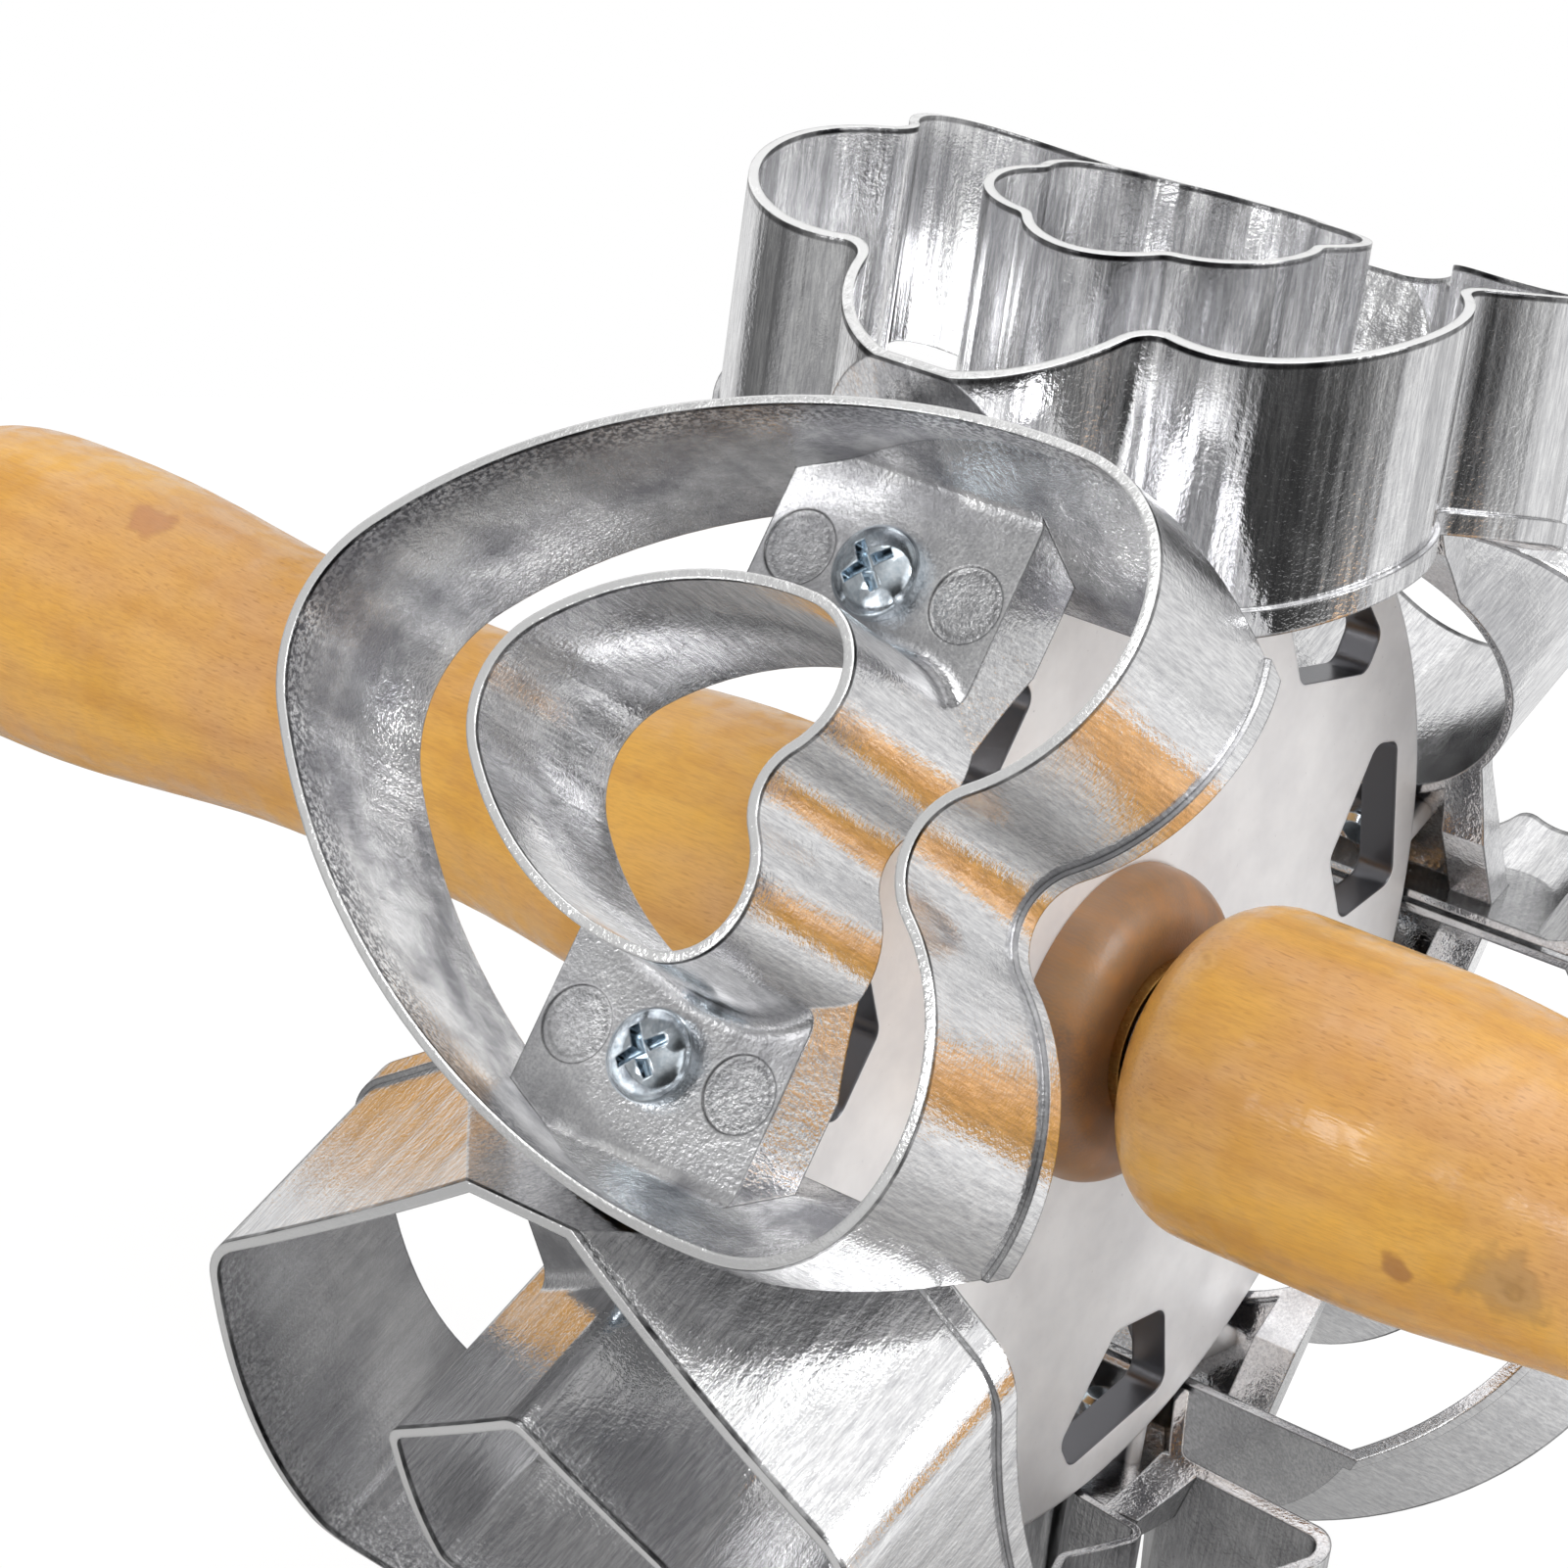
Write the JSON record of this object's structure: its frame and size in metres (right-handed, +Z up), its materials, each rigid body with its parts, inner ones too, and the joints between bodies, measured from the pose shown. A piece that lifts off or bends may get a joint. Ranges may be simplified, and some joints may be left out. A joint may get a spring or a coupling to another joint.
{
  "type": "donut cutter roller",
  "caption": "Hand roller that cuts donuts: ring-shaped blade castings are screwed round a cast wheel, which spins on an axle between turned wooden handles.",
  "frame": {"origin": "on the axle, midway between the two handles", "axes": "+X along the axle towards the right handle, +Z up through the flower cutter, +Y away from the heart cutter's side"},
  "size_m": [0.334, 0.168, 0.168],
  "materials": {
    "varnished_wood": "satin varnish",
    "oiled_wood": "oiled",
    "bright_cast_aluminium": "polished",
    "satin_cast_aluminium": "satin, as cast",
    "zinc_plated_steel": "bright zinc",
    "axle_steel": "bright drawn",
    "bush_bronze": "plain"
  },
  "bodies": {
    "handles": {"left_handle": "varnished_wood", "right_handle": "varnished_wood", "axle_rod": "axle_steel", "left_thrust_washer": "axle_steel", "right_thrust_washer": "axle_steel"},
    "roller": {"barrel": "oiled_wood", "left_bush": "bush_bronze", "right_bush": "bush_bronze", "wheel": "satin_cast_aluminium", "flower_cutter": "bright_cast_aluminium", "heart_cutter": "bright_cast_aluminium", "hexagon_cutter": "bright_cast_aluminium", "star_cutter": "bright_cast_aluminium", "round_cutter": "bright_cast_aluminium", "scalloped_cutter": "bright_cast_aluminium", "flower_screws": "zinc_plated_steel", "heart_screws": "zinc_plated_steel", "hexagon_screws": "zinc_plated_steel", "star_screws": "zinc_plated_steel", "round_screws": "zinc_plated_steel", "scalloped_screws": "zinc_plated_steel"}
  },
  "joints": [
    {"name": "roller_spin", "type": "hinge", "parent": "handles", "child": "roller", "pos_m": [0, 0, 0], "axis": [1, 0, 0], "continuous": true}
  ]
}
